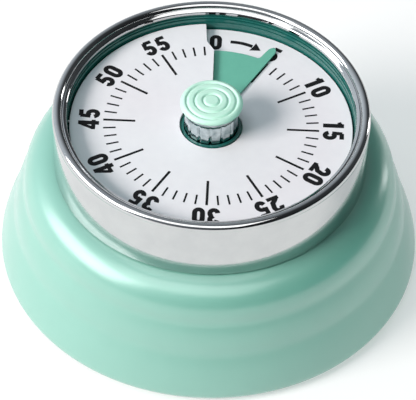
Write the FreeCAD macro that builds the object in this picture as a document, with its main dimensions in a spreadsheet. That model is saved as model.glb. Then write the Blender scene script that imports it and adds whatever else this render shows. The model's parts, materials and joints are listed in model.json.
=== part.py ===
"""A round 60-minute clockwork kitchen timer.

Frame: origin at the centre of the bottom, +Z up the main arbor, the dial's 0 mark towards +Y.
All sizes are millimetres. Angles on the dial are clockwise from 0, as seen from above.
"""
import FreeCAD, Part
import math
import os
import Sketcher

V = FreeCAD.Vector
doc = FreeCAD.newDocument("kitchen_timer")
sheet = doc.addObject("Spreadsheet::Sheet", "dims")

# ---- driving dimensions ----
DIMENSIONS = {
    "base_radius": 34.98, "base_foot_radius": 34.3, "base_lift": 0.3, "widest_height": 1.51,
    "low_groove_radius": 32.55, "low_groove_height": 8.85,
    "high_groove_radius": 30.77, "high_groove_height": 14.56,
    "shoulder_radius": 25.4, "shoulder_height": 20.6, "wall": 1.9, "flange_bore": 22.3,
    "bezel_radius": 25.5, "bezel_bore": 24.15, "bezel_top": 31.8, "bead_radius": 25.7,
    "lip_radius": 23.4, "lip_top": 30.95, "lip_low": 30.45,
    "well_radius": 23.2, "floor_bottom": 24.2, "floor_top": 25.4,
    "dial_radius": 22.95, "dial_bore": 5.1, "dial_low": 27.47, "dial_pitch": 1.27, "dial_sheet": 0.4,
    "dial_lap": 5.5, "disc_radius": 17.5, "pointer_radius": 20.9, "disc_sheet": 0.3, "disc_gap": 0.15,
    "set_angle": 30.0, "stem_radius": 4.4, "knob_radius": 5.05, "knob_top": 33.95, "cap_height": 1.0,
    "cover_radius": 32.5, "cover_bottom": 0.8, "cover_top": 2.3, "cover_screw_circle": 28.0,
    "magnet_radius": 10.0, "magnet_bottom": 0.2, "magnet_top": 3.1, "keeper_top": 3.8,
    "plate_radius": 21.5, "plate_sheet": 1.0, "back_plate_top": 12.0, "front_plate_low": 21.5,
    "pillar_circle": 19.5, "mount_screw_circle": 18.5,
    "arbor_radius": 1.6, "knob_arbor_radius": 1.3, "fit": 0.05, "pivot_radius": 0.4,
    "small_arbor_radius": 0.6, "pinion_pins": 8,
    "main_teeth": 64, "main_module": 0.36, "main_low": 17.2, "main_sheet": 0.8, "main_pin": 0.2,
    "second_teeth": 56, "second_module": 0.28, "second_low": 19.9, "second_pin": 0.15,
    "third_teeth": 56, "third_module": 0.25, "third_low": 18.7, "third_pin": 0.13, "wheel_sheet": 0.6,
    "escape_teeth": 15, "escape_radius": 3.4, "escape_low": 15.5, "pallet_pin": 0.18,
    "pallet_distance": 4.6, "balance_distance": 6.2, "balance_radius": 4.9, "balance_low": 13.4,
    "strike_teeth": 12, "strike_radius": 3.6, "strike_low": 19.4, "hammer_distance": 5.2,
    "bell_radius": 12.5, "bell_rim": 10.0, "bell_floor": 5.4, "bell_sheet": 0.7,
    "cam_low": 18.5, "cam_small": 3.0, "cam_large": 4.2, "lever_circle": 9.5,
}
for row, (alias, number) in enumerate(DIMENSIONS.items(), start=1):
    sheet.set(f"A{row}", alias)
    sheet.set(f"B{row}", str(number))
    sheet.setAlias(f"B{row}", alias)
doc.recompute()


class Size:
    """A number with the spreadsheet expression that gives it."""

    def __init__(self, value, text):
        self.value = float(value)
        self.text = text

    def __add__(self, other):
        return joined(self, "+", other, self.value + size_of(other).value)

    def __radd__(self, other):
        return size_of(other) + self

    def __sub__(self, other):
        return joined(self, "-", other, self.value - size_of(other).value)

    def __rsub__(self, other):
        return size_of(other) - self

    def __mul__(self, other):
        return joined(self, "*", other, self.value * size_of(other).value)

    def __rmul__(self, other):
        return size_of(other) * self

    def __truediv__(self, other):
        return joined(self, "/", other, self.value / size_of(other).value)


def size_of(thing):
    return thing if isinstance(thing, Size) else Size(thing, f"({float(thing):.9f})")


def joined(first, sign, second, value):
    return Size(value, f"({first.text} {sign} {size_of(second).text})")


class Sheet:
    """Reads a spreadsheet cell by its alias, as a Size."""

    def __getattr__(self, alias):
        return Size(getattr(sheet, alias), f"dims.{alias}")


d = Sheet()
nodes = []


# ---- builders ----
def node(thing, label):
    thing.Label = label
    nodes.append(thing)
    return thing


def bind(thing, prop, size):
    thing.setExpression(prop, size_of(size).text)


def polar(radius, degrees):
    """A point at a radius and an angle counter-clockwise from +X."""
    angle = math.radians(degrees)
    return size_of(radius) * round(math.cos(angle), 9), size_of(radius) * round(math.sin(angle), 9)


def dial_point(radius, clock):
    """A plan point at a radius and a dial angle, clockwise from +Y."""
    angle = math.radians(clock)
    return V(radius * math.sin(angle), radius * math.cos(angle), 0)


def move(thing, x=0, y=0, z=0):
    """Puts an object at a place that stays bound to the sheet."""
    for axis, size in (("x", x), ("y", y), ("z", z)):
        bind(thing, f"Placement.Base.{axis}", size)
    return thing


def new_sketch(body, role, lift=None):
    sketch = body.newObject("Sketcher::SketchObject", "sketch")
    plane = next(f for f in body.Origin.OriginFeatures if f.Role == role)
    sketch.AttachmentSupport = [(plane, "")]
    sketch.MapMode = "FlatFace"
    if lift is not None:
        bind(sketch, "AttachmentOffset.Base.z", lift)
    return sketch


def place_point(sketch, index, end, x, y):
    """Fixes one end of an edge at x, y with bound distances from the sketch's origin."""
    for kind, axis, size in (("DistanceX", -2, size_of(x)), ("DistanceY", -1, size_of(y))):
        if abs(size.value) < 1e-9:
            sketch.addConstraint(Sketcher.Constraint("PointOnObject", index, end, axis))
        else:
            made = sketch.addConstraint(Sketcher.Constraint(kind, -1, 1, index, end, size.value))
            sketch.setExpression(f"Constraints[{made}]", size.text)


def draw(sketch, outline):
    """Draws a closed outline of (x, y) or (x, y, bulge) points.

    A bulge is the height of the arc to the next point, to the right of the way of travel.
    """
    points = [(size_of(p[0]), size_of(p[1]), p[2] if len(p) > 2 else 0) for p in outline]
    count = len(points)
    for i, (x, y, bulge) in enumerate(points):
        x2, y2, _ = points[(i + 1) % count]
        start, end = V(x.value, y.value, 0), V(x2.value, y2.value, 0)
        edge = Part.LineSegment(start, end)
        if bulge:
            along = end - start
            side = V(along.y, -along.x, 0).normalize() * bulge
            edge = Part.Arc(start, (start + end) * 0.5 + side, end)
        sketch.addGeometry(edge, False)
    for i in range(count):
        bulge = points[i][2]
        nxt = (i + 1) % count
        # an arc is stored counter-clockwise, so one that bulges right runs start to end
        ends = (1, 2) if bulge >= 0 else (2, 1)
        place_point(sketch, i, ends[0], points[i][0], points[i][1])
        other = (1, 2) if points[nxt][2] >= 0 else (2, 1)
        sketch.addConstraint(Sketcher.Constraint("Coincident", i, ends[1], nxt, other[0]))
        if bulge:
            a, b = points[i], points[nxt]
            chord = math.hypot(b[0].value - a[0].value, b[1].value - a[1].value)
            radius = (chord * chord / 4 + bulge * bulge) / (2 * abs(bulge))
            sketch.addConstraint(Sketcher.Constraint("Radius", i, radius))


def turned(label, outline, x=0, y=0, keep=True):
    """A body turned about its own Z axis from an outline of (radius, height) points."""
    body = doc.addObject("PartDesign::Body", label)
    sketch = new_sketch(body, "XZ_Plane")
    draw(sketch, outline)
    spin = body.newObject("PartDesign::Revolution", "spin")
    spin.Profile = sketch
    spin.ReferenceAxis = (sketch, ["V_Axis"])
    spin.Angle = 360
    move(body, x, y)
    return node(body, label) if keep else body


def ring(label, outer, bore, low, high, x=0, y=0, keep=True):
    outline = [(bore, low), (outer, low), (outer, high), (bore, high)]
    return turned(label, outline, x, y, keep)


def slab(label, outline, low, high, x=0, y=0, keep=True):
    """A body padded up from a plan outline."""
    body = doc.addObject("PartDesign::Body", label)
    sketch = new_sketch(body, "XY_Plane", low)
    draw(sketch, outline)
    pad = body.newObject("PartDesign::Pad", "pad")
    pad.Profile = sketch
    bind(pad, "Length", size_of(high) - low)
    move(body, x, y)
    return node(body, label) if keep else body


def rod(radius, low, high, x=0, y=0):
    """A plain cylinder, for use in a boolean."""
    thing = doc.addObject("Part::Cylinder", "rod")
    bind(thing, "Radius", radius)
    bind(thing, "Height", size_of(high) - low)
    return move(thing, x, y, low)


def block(x_size, y_size, low, high, x=0, y=0, turn=0):
    """A box centred on a plan point and turned about Z, for use in a boolean."""
    thing = doc.addObject("Part::Box", "block")
    bind(thing, "Length", x_size)
    bind(thing, "Width", y_size)
    bind(thing, "Height", size_of(high) - low)
    x_half, y_half = size_of(x_size) / 2, size_of(y_size) / 2
    cosine, sine = math.cos(math.radians(turn)), math.sin(math.radians(turn))
    thing.Placement.Rotation = FreeCAD.Rotation(V(0, 0, 1), turn)
    return move(thing, x - x_half * cosine + y_half * sine, y - x_half * sine - y_half * cosine, low)


def bar(start, end, width, low, high):
    """A box from one plan point to another, for use in a boolean."""
    dx, dy = end[0].value - start[0].value, end[1].value - start[1].value
    middle = ((start[0] + end[0]) / 2, (start[1] + end[1]) / 2)
    turn = math.degrees(math.atan2(dy, dx))
    return block(math.hypot(dx, dy), width, low, high, middle[0], middle[1], turn)


def fuse(label, things, keep=True):
    made = doc.addObject("Part::MultiFuse", "fused")
    made.Shapes = things
    return node(made, label) if keep else made


def cut(label, base, tools, keep=True):
    made = doc.addObject("Part::Cut", "cut")
    made.Base = base
    made.Tool = tools[0] if len(tools) == 1 else fuse("", tools, keep=False)
    return node(made, label) if keep else made


def around(count, first=0.0):
    return [first + 360.0 * i / count for i in range(count)]


def screw(radius, head_radius, head_low, head_high, tip, x, y):
    """A screw with its shank towards tip, with a slot in the far side of its head."""
    upward = tip.value > head_low.value
    shank = rod(radius, head_high, tip, x, y) if upward else rod(radius, tip, head_low, x, y)
    head = rod(head_radius, head_low, head_high, x, y)
    depth = (head_high - head_low) * 0.4
    low, high = (head_low - 0.1, head_low + depth) if upward else (head_high - depth, head_high + 0.1)
    slot = block(size_of(head_radius) * 2.4, head_radius * 0.3, low, high, x, y, 30)
    return cut("", fuse("", [shank, head], keep=False), [slot], keep=False)


def clear_gear(label, teeth, module, low, high, pin, bore, x=0, y=0, phase=0.0, windows=0):
    """A wheel whose tooth spaces clear round pins on its pitch circle at every phase."""
    count = int(teeth.value)
    pitch_radius = teeth * module / 2
    tip = pitch_radius + module * 0.9
    body = doc.addObject("PartDesign::Body", "gear_blank")
    sketch = new_sketch(body, "XY_Plane", low)
    sketch.addGeometry(Part.Circle(V(0, 0, 0), V(0, 0, 1), tip.value), False)
    sketch.addConstraint(Sketcher.Constraint("Coincident", 0, 3, -1, 1))
    made = sketch.addConstraint(Sketcher.Constraint("Radius", 0, tip.value))
    sketch.setExpression(f"Constraints[{made}]", tip.text)
    pad = body.newObject("PartDesign::Pad", "pad")
    pad.Profile = sketch
    bind(pad, "Length", size_of(high) - low)
    doc.recompute()
    half_space = pin.value + d.fit.value
    half_mouth = math.pi * module.value / 2 + half_space * 0.35
    root = pitch_radius.value - half_space
    far = tip.value + 0.1
    gap = new_sketch(body, "XY_Plane", low)
    corners = [
        (root, -half_space), (pitch_radius.value, -half_space), (far, -half_mouth),
        (far, half_mouth), (pitch_radius.value, half_space), (root, half_space),
    ]
    draw(gap, corners)
    spaces = body.newObject("PartDesign::Pocket", "space")
    spaces.Profile = gap
    spaces.Type = 1
    spaces.Reversed = True
    doc.recompute()
    pattern = body.newObject("PartDesign::PolarPattern", "spaces")
    pattern.Originals = [spaces]
    axis = next(f for f in body.Origin.OriginFeatures if f.Role == "Z_Axis")
    pattern.Axis = (axis, [""])
    pattern.Angle = 360
    pattern.Occurrences = count
    body.Tip = pattern
    body.Placement.Rotation = FreeCAD.Rotation(V(0, 0, 1), phase)
    move(body, x, y)
    holes = [rod(bore, low - 1, high + 1, x, y)]
    window_circle = pitch_radius.value * 0.55
    for angle in around(windows, 20.0):
        wx, wy = polar(window_circle, angle)
        holes.append(rod(pitch_radius * 0.24, low - 1, high + 1, x + wx, y + wy))
    return cut(label, body, holes)


def lantern(module, pin, low, high, x, y, phase):
    """The parts of a lantern pinion: two end discs with a ring of pins between them."""
    count = int(d.pinion_pins.value)
    circle = module * count / 2
    sheet_size = 0.25
    disc = circle + pin + 0.25
    things = [
        rod(disc, low, low + sheet_size, x, y),
        rod(disc, high - sheet_size, high, x, y),
    ]
    for angle in around(count, phase):
        px, py = polar(circle, angle)
        things.append(rod(pin, low, high, x + px, y + py))
    return things


def arbor(label, x, y, extra, low=None, radius=None):
    """A small arbor with a pivot in each plate, and what is fixed on it."""
    bottom = d.back_plate_top - d.plate_sheet
    top = d.front_plate_low + d.plate_sheet
    shaft = radius if radius is not None else d.small_arbor_radius
    first = rod(shaft, d.back_plate_top + 0.1, d.front_plate_low - 0.1, x, y)
    pivots = rod(d.pivot_radius, bottom, top, x, y)
    things = [first, pivots] + extra
    if low is not None:
        things.append(rod(shaft, low, d.back_plate_top + 0.2, x, y))
    return fuse(label, things)


def ribbon(label, inner, outer, turns, sheet_size, low, high, x, y, start):
    """A spiral spring: a thin strip between two Archimedean curves."""
    def curve(shift):
        points = []
        steps = turns * 24
        for i in range(steps + 1):
            angle = math.radians(start + 360.0 * i / 24)
            radius = inner + (outer - inner) * i / steps + shift
            points.append(V(radius * math.cos(angle), radius * math.sin(angle), 0))
        line = Part.BSplineCurve()
        line.interpolate(points)
        return line.toShape(), points[0], points[-1]
    near, near_start, near_end = curve(-sheet_size / 2)
    far, far_start, far_end = curve(sheet_size / 2)
    edges = [near, Part.makeLine(near_end, far_end), far, Part.makeLine(far_start, near_start)]
    face = Part.Face(Part.Wire(Part.__sortEdges__(edges)))
    strip = doc.addObject("Part::Feature", label)
    strip.Shape = face.extrude(V(0, 0, high.value - low.value))
    move(strip, x, y, low)
    return node(strip, label)


def ramp(inner, outer, first, last, low, sheet_size):
    """A solid ramp that climbs one pitch a turn clockwise, from one dial angle to another."""
    pitch = d.dial_pitch.value
    span = last - first
    def helix(radius, lift):
        edge = Part.makeHelix(pitch, pitch * span / 360.0, radius, 0, True).Edges[0]
        # the helix starts on +X; it is turned so that it starts at the first dial angle
        edge.rotate(V(0, 0, 0), V(0, 0, 1), 90.0 - first)
        edge.translate(V(0, 0, low + pitch * first / 360.0 + lift))
        return edge
    in_low, out_low = helix(inner, 0), helix(outer, 0)
    in_high, out_high = helix(inner, sheet_size), helix(outer, sheet_size)
    pairs = [(in_low, out_low), (in_high, out_high), (in_low, in_high), (out_low, out_high)]
    faces = [Part.makeRuledSurface(one, two) for one, two in pairs]
    for index in (0, -1):
        ends = [edge.Vertexes[index].Point for edge in (in_low, out_low, out_high, in_high)]
        faces.append(Part.Face(Part.makePolygon(ends + ends[:1])))
    shell = Part.makeShell([face for item in faces for face in item.Faces])
    shell.sewShape()
    solid = Part.makeSolid(shell)
    if solid.Volume < 0:
        solid.reverse()
    return solid


def plan_prism(points, low, high):
    face = Part.Face(Part.makePolygon(points + points[:1]))
    face.translate(V(0, 0, low))
    return face.extrude(V(0, 0, high - low))


# ---- places of the train, about the main arbor ----
first_distance = (d.main_teeth + d.pinion_pins) * d.main_module / 2
second_distance = (d.second_teeth + d.pinion_pins) * d.second_module / 2
third_distance = (d.third_teeth + d.pinion_pins) * d.third_module / 2
THIRD_CIRCLE = 14.2
ESCAPE_CIRCLE = 16.6
BALANCE_CIRCLE = 16.4
HAMMER_CIRCLE = 15.5
HEAD_CIRCLE = 14.6
HAMMER_LENGTH = 6.0


def swing(near, far, reach):
    """The angle at the centre between two circles' points that are a reach apart."""
    cosine = (near * near + far * far - reach * reach) / (2 * near * far)
    return math.degrees(math.acos(cosine))


SECOND_ANGLE = 100.0
THIRD_ANGLE = SECOND_ANGLE - swing(first_distance.value, THIRD_CIRCLE, second_distance.value)
ESCAPE_ANGLE = THIRD_ANGLE - swing(THIRD_CIRCLE, ESCAPE_CIRCLE, third_distance.value)
PALLET_ANGLE = ESCAPE_ANGLE - swing(ESCAPE_CIRCLE, BALANCE_CIRCLE, d.pallet_distance.value)
BALANCE_ANGLE = PALLET_ANGLE - swing(BALANCE_CIRCLE, BALANCE_CIRCLE, d.balance_distance.value)
STRIKE_ANGLE = 200.0
HAMMER_ANGLE = STRIKE_ANGLE + swing(first_distance.value, HAMMER_CIRCLE, d.hammer_distance.value)
HEAD_ANGLE = HAMMER_ANGLE + swing(HAMMER_CIRCLE, HEAD_CIRCLE, HAMMER_LENGTH)
LEVER_ANGLE = -80.0
CONTACT_ANGLE = -19.7

second_at = polar(first_distance, SECOND_ANGLE)
third_at = polar(THIRD_CIRCLE, THIRD_ANGLE)
escape_at = polar(ESCAPE_CIRCLE, ESCAPE_ANGLE)
pallet_at = polar(BALANCE_CIRCLE, PALLET_ANGLE)
balance_at = polar(BALANCE_CIRCLE, BALANCE_ANGLE)
strike_at = polar(first_distance, STRIKE_ANGLE)
hammer_at = polar(HAMMER_CIRCLE, HAMMER_ANGLE)
head_at = polar(HEAD_CIRCLE, HEAD_ANGLE)
lever_at = polar(d.lever_circle, LEVER_ANGLE)
PILLAR_ANGLES = (140.0, 255.0, 320.0)
MOUNT_ANGLES = (60.0, 180.0, 300.0)
COVER_SCREW_ANGLES = around(3, 90.0)


def heading(start, end):
    return math.degrees(math.atan2(end[1].value - start[1].value, end[0].value - start[0].value))


def beyond(start, degrees, reach):
    """The point at a reach and heading from another point."""
    x, y = polar(reach, degrees)
    return start[0] + x, start[1] + y


# ---- outer case ----
def make_base_shell():
    inner = d.base_radius - d.wall - 1.9
    outline = [
        (d.base_foot_radius, d.base_lift, 0.15), (d.base_radius, d.widest_height, 0.22),
        (d.low_groove_radius, d.low_groove_height, 0.34),
        (d.high_groove_radius, d.high_groove_height, 1.89),
        (d.shoulder_radius, d.shoulder_height), (d.flange_bore, d.shoulder_height),
        (d.flange_bore, d.shoulder_height - 1.7), (d.shoulder_radius - 1.6, d.shoulder_height - 1.9),
        (d.high_groove_radius - 2.2, d.high_groove_height - 0.9),
        (d.low_groove_radius - 2.3, d.low_groove_height - 0.4),
        (inner, d.cover_top + 0.1), (d.cover_radius + 0.2, d.cover_top + 0.1),
        (d.cover_radius + 0.2, d.base_lift),
    ]
    shell = turned("base_skin", outline, keep=False)
    posts, holes = [], []
    for angle in COVER_SCREW_ANGLES:
        x, y = polar(d.cover_screw_circle, angle)
        posts.append(rod(2.2, d.cover_top + 0.1, d.high_groove_height - 1.0, x, y))
        holes.append(rod(0.9, d.cover_top, d.cover_top + 7.0, x, y))
    cut("base_shell", fuse("", [shell] + posts, keep=False), holes)


def make_bezel_ring():
    outline = [
        (d.bezel_bore, d.shoulder_height), (d.bezel_radius - 0.3, d.shoulder_height),
        (d.bezel_radius, d.shoulder_height + 0.14), (d.bezel_radius, d.bezel_top - 1.38, 0.06),
        (d.bead_radius, d.bezel_top - 0.8, 0.234), (d.bead_radius - 0.8, d.bezel_top, 0.2),
        (d.bead_radius - 1.6, d.bezel_top - 0.72), (d.lip_radius + 0.1, d.lip_top),
        (d.lip_radius, d.lip_top - 0.1), (d.lip_radius, d.lip_low), (d.bezel_bore, d.lip_low),
    ]
    turned("bezel_ring", outline)


def make_upper_housing():
    wall_out = d.bezel_bore - 0.05
    outline = [
        (2.6, d.floor_bottom), (d.well_radius - 0.2, d.floor_bottom), (d.well_radius, d.shoulder_height),
        (wall_out, d.shoulder_height), (wall_out, d.lip_low - 0.05),
        (d.well_radius + 0.35, d.lip_low - 0.05), (d.well_radius + 0.35, d.lip_low - 0.4),
        (d.well_radius + 0.2, d.lip_low - 0.5), (d.well_radius + 0.2, d.lip_low - 0.9),
        (d.well_radius, d.lip_low - 1.05), (d.well_radius, d.floor_top), (2.6, d.floor_top),
    ]
    well = turned("well", outline, keep=False)
    seat = doc.addObject("Part::Feature", "seat")
    low = d.dial_low.value - d.dial_sheet.value - 1.2
    seat.Shape = ramp(21.4, d.well_radius.value + 0.2, 2.0, 358.5 - d.dial_lap.value, low, 1.2)
    things, holes = [well, seat], []
    for angle in MOUNT_ANGLES:
        x, y = polar(d.mount_screw_circle, angle)
        things.append(rod(2.2, d.front_plate_low + d.plate_sheet, d.floor_bottom + 0.1, x, y))
        holes.append(rod(0.8, d.front_plate_low, d.floor_bottom + 0.4, x, y))
    cut("upper_housing", fuse("", things, keep=False), holes)


def make_bottom_cover():
    pocket = d.magnet_radius + 0.1
    outline = [
        (pocket, d.cover_bottom), (d.cover_radius, d.cover_bottom), (d.cover_radius, d.cover_top),
        (pocket + 1.1, d.cover_top), (pocket + 1.1, d.keeper_top + 0.8), (0, d.keeper_top + 0.8),
        (0, d.keeper_top), (pocket, d.keeper_top),
    ]
    plate = turned("cover_plate", outline, keep=False)
    holes = []
    for angle in around(18, 10.0):
        x, y = polar(17.4, angle)
        holes.append(block(7.6, 1.3, d.cover_bottom - 1, d.cover_top + 1, x, y, angle))
    for angle in COVER_SCREW_ANGLES:
        x, y = polar(d.cover_screw_circle, angle)
        holes.append(rod(1.2, d.cover_bottom - 1, d.cover_top + 1, x, y))
        holes.append(rod(2.3, d.cover_bottom - 1, d.cover_bottom + 0.8, x, y))
    cut("bottom_cover", plate, holes)


def make_bottom_pieces():
    ring("foot_ring", 25.5, 23.2, 0, d.cover_bottom)
    ring("magnet", d.magnet_radius, 3.0, d.magnet_bottom, d.magnet_top)
    node(rod(d.magnet_radius, d.magnet_top, d.keeper_top), "magnet_keeper")
    screws = []
    for angle in COVER_SCREW_ANGLES:
        x, y = polar(d.cover_screw_circle, angle)
        screws.append(screw(0.9, 1.9, d.cover_bottom + 0.05, d.cover_bottom + 0.8,
                            d.cover_top + 6.0, x, y))
    fuse("cover_screws", screws)


def make_dial_plate():
    low = d.dial_low.value - d.dial_sheet.value
    sheet_size = d.dial_sheet.value
    dial = ramp(d.dial_bore.value, d.dial_radius.value, -d.dial_lap.value, 359.35, low, sheet_size)
    top = d.dial_low.value + d.dial_pitch.value
    slit = [dial_point(r, clock) for r, clock in
            ((16.97, -1.0), (18.78, -4.4), (24.0, -4.4), (24.0, -0.2), (16.97, -0.2))]
    dial = dial.cut(plan_prism(slit, top - 0.9, top + 0.5))
    tab = [dial_point(r, clock) for r, clock in
           ((22.5, -91.6), (23.3, -91.6), (23.3, -91.0), (22.5, -91.0))]
    tab_top = d.dial_low.value + d.dial_pitch.value * 268.7 / 360.0
    dial = dial.fuse(plan_prism(tab, tab_top - sheet_size * 0.8, tab_top - 0.05))
    plate = doc.addObject("Part::Feature", "dial_plate")
    plate.Shape = dial
    node(plate, "dial_plate")


def make_sector_disc():
    """A disc with the dial's own pitch, so that it screws through the slit as it turns."""
    low = d.dial_low.value + d.disc_gap.value
    end = d.set_angle.value
    sheet_size = d.disc_sheet.value
    leaf = ramp(4.6, d.disc_radius.value, end - 358.0, end, low, sheet_size)
    tab = [dial_point(r, clock) for r, clock in
           ((17.3, end), (20.9, end), (20.9, end - 2.2), (20.65, end - 2.9),
            (20.2, end - 3.2), (17.9, end - 3.6), (17.5, end - 4.1), (17.3, end - 4.3))]
    arm = ramp(17.2, d.pointer_radius.value, end - 5.0, end, low, sheet_size)
    arm = arm.common(plan_prism(tab, low - 2, low + 3))
    hub_low = low + d.dial_pitch.value * (end - 358.0) / 360.0 - 0.15
    hub_high = low + d.dial_pitch.value * end / 360.0 + sheet_size + 0.1
    bore = d.stem_radius.value + d.fit.value
    hub = Part.makeCylinder(4.9, hub_high - hub_low, V(0, 0, hub_low))
    hub = hub.cut(Part.makeCylinder(bore, 5, V(0, 0, hub_low - 1)))
    key = Part.makeBox(0.9, 0.6, hub_high - hub_low, V(-4.85, -0.3, hub_low))
    disc = doc.addObject("Part::Feature", "sector_disc")
    disc.Shape = leaf.fuse([arm, hub, key]).removeSplitter()
    node(disc, "sector_disc")


# ---- knob and main arbor ----
def make_knob():
    low = d.knob_top - d.cap_height
    outline = [
        (0, low - 0.7), (3.0, low - 0.7), (3.0, low), (d.knob_radius - 0.15, low),
        (d.knob_radius, low + 0.2), (d.knob_radius, low + 0.62, 0.12), (4.7, d.knob_top - 0.14),
        (4.05, d.knob_top - 0.3, 0.2), (2.75, d.knob_top - 0.26, 0.22),
        (1.35, d.knob_top - 0.24, 0.14), (0.3, d.knob_top), (0, d.knob_top),
    ]
    turned("knob_cap", outline)
    bottom = d.floor_top + 0.5
    bore = d.knob_arbor_radius
    outline = [
        (0, low - 0.7), (0, low - 1.4), (bore, low - 1.4), (bore, bottom), (d.stem_radius, bottom),
        (d.stem_radius, low - 1.0), (d.stem_radius + 0.35, low - 0.5), (d.stem_radius + 0.35, low),
        (3.0, low), (3.0, low - 0.7),
    ]
    stem = turned("stem", outline, keep=False)
    groove = block(1.0, 0.75, bottom - 0.5, low - 1.5, size_of(-1) * d.stem_radius, 0)
    cut("knob_body", stem, [groove])


def make_main_arbor():
    top = d.knob_top - d.cap_height - 1.4
    outline = [
        (0, d.back_plate_top - 0.95), (1.0, d.back_plate_top - 0.95), (1.0, d.back_plate_top + 0.1),
        (d.arbor_radius, d.back_plate_top + 0.1), (d.arbor_radius, d.front_plate_low - 0.1),
        (d.knob_arbor_radius, d.front_plate_low - 0.1), (d.knob_arbor_radius, top), (0, top),
    ]
    turned("main_arbor", outline)
    ring("front_bush", 2.4, d.knob_arbor_radius + d.fit, d.front_plate_low, d.front_plate_low + 1.6)
    ring("back_bush", 2.2, 1.0 + d.fit, d.back_plate_top - d.plate_sheet, d.back_plate_top)
    main_high = d.main_low + d.main_sheet
    ring("clutch_collar", 2.6, d.arbor_radius, d.main_low - 0.5, d.main_low)
    outline = [
        (d.arbor_radius, main_high + 0.3), (d.arbor_radius, main_high + 0.15), (3.4, main_high),
        (3.4, main_high + 0.15),
    ]
    turned("clutch_spring", outline)


def make_trip_cam():
    """A snail cam that grows with the time that is set."""
    steps = 48
    start = CONTACT_ANGLE - d.set_angle.value
    points = []
    for i in range(steps + 1):
        angle = math.radians(start + 360.0 * i / steps)
        radius = d.cam_small.value + (d.cam_large.value - d.cam_small.value) * i / steps
        points.append(V(radius * math.cos(angle), radius * math.sin(angle), 0))
    curve = Part.BSplineCurve()
    curve.interpolate(points)
    face = Part.Face(Part.Wire([curve.toShape(), Part.makeLine(points[-1], points[0])]))
    snail = face.extrude(V(0, 0, 0.8)).cut(Part.makeCylinder(d.arbor_radius.value, 2, V(0, 0, -0.5)))
    cam = doc.addObject("Part::Feature", "trip_cam")
    cam.Shape = snail
    move(cam, 0, 0, d.cam_low)
    node(cam, "trip_cam")


# ---- plates ----
def make_plates():
    back_low = d.back_plate_top - d.plate_sheet
    front_high = d.front_plate_low + d.plate_sheet
    pivots = [second_at, third_at, escape_at, pallet_at, balance_at, strike_at]
    hole = d.pivot_radius + d.fit
    fronts = [rod(hole, d.front_plate_low - 1, front_high + 1, x, y) for x, y in pivots + [hammer_at]]
    backs = [rod(hole, back_low - 1, d.back_plate_top + 1, x, y) for x, y in pivots]
    backs.append(rod(0.8 + d.fit, back_low - 1, d.back_plate_top + 1, *hammer_at))
    fronts.append(rod(2.4, d.front_plate_low - 1, front_high + 1))
    backs.append(rod(2.2, back_low - 1, d.back_plate_top + 1))
    fronts.append(rod(0.8, d.front_plate_low - 1, front_high + 1, *lever_at))
    fronts.append(rod(0.5, d.front_plate_low - 1, front_high + 1, *beyond(balance_at, -90, 3.4)))
    backs.append(rod(0.7, back_low - 1, d.back_plate_top + 1, *polar(11.6, -60)))
    pillars, screws = [], []
    for angle in PILLAR_ANGLES:
        x, y = polar(d.pillar_circle, angle)
        fronts.append(rod(0.7, d.front_plate_low - 1, front_high + 1, x, y))
        backs.append(rod(0.8, back_low - 1, d.back_plate_top + 1, x, y))
        post = fuse("", [rod(1.2, d.back_plate_top, d.front_plate_low, x, y),
                         rod(0.8, back_low, d.back_plate_top + 0.5, x, y)], keep=False)
        pillars.append(cut("", post, [rod(0.7, d.front_plate_low - 3, d.front_plate_low + 1, x, y)],
                           keep=False))
        screws.append(screw(0.7, 1.5, front_high, front_high + 0.7, d.front_plate_low - 2.9, x, y))
    mounts = []
    for angle in MOUNT_ANGLES:
        x, y = polar(d.mount_screw_circle, angle)
        fronts.append(rod(0.85, d.front_plate_low - 1, front_high + 1, x, y))
        mounts.append(screw(0.8, 1.5, d.front_plate_low - 0.7, d.front_plate_low,
                            d.floor_bottom + 0.3, x, y))
    for angle in (18.0, 262.0, 352.0):
        x, y = polar(9.0, angle)
        fronts.append(rod(2.6, d.front_plate_low - 1, front_high + 1, x, y))
    cut("front_plate", rod(d.plate_radius, d.front_plate_low, front_high), fronts)
    cut("back_plate", rod(d.plate_radius, back_low, d.back_plate_top), backs)
    fuse("plate_pillars", pillars)
    fuse("pillar_screws", screws)
    fuse("movement_screws", mounts)


# ---- going train ----
def make_springs():
    low = d.back_plate_top + 0.7
    ribbon("mainspring", 2.2, 10.4, 6, 0.3, low, low + 4.0, 0, 0, -60.0)
    post = [rod(0.7, d.back_plate_top - d.plate_sheet, low + 4.2, *polar(11.6, -60)),
            rod(0.95, d.back_plate_top, low - 0.1, *polar(11.6, -60))]
    fuse("mainspring_post", post)
    x, y = balance_at
    hair_low = d.balance_low + 1.2
    ribbon("hairspring", 1.0, 3.0, 6, 0.08, hair_low, hair_low + 0.4, x, y, -90.0)
    stud = beyond(balance_at, -90, 3.4)
    node(rod(0.5, hair_low - 0.2, d.front_plate_low + d.plate_sheet, *stud), "hairspring_stud")


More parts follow.
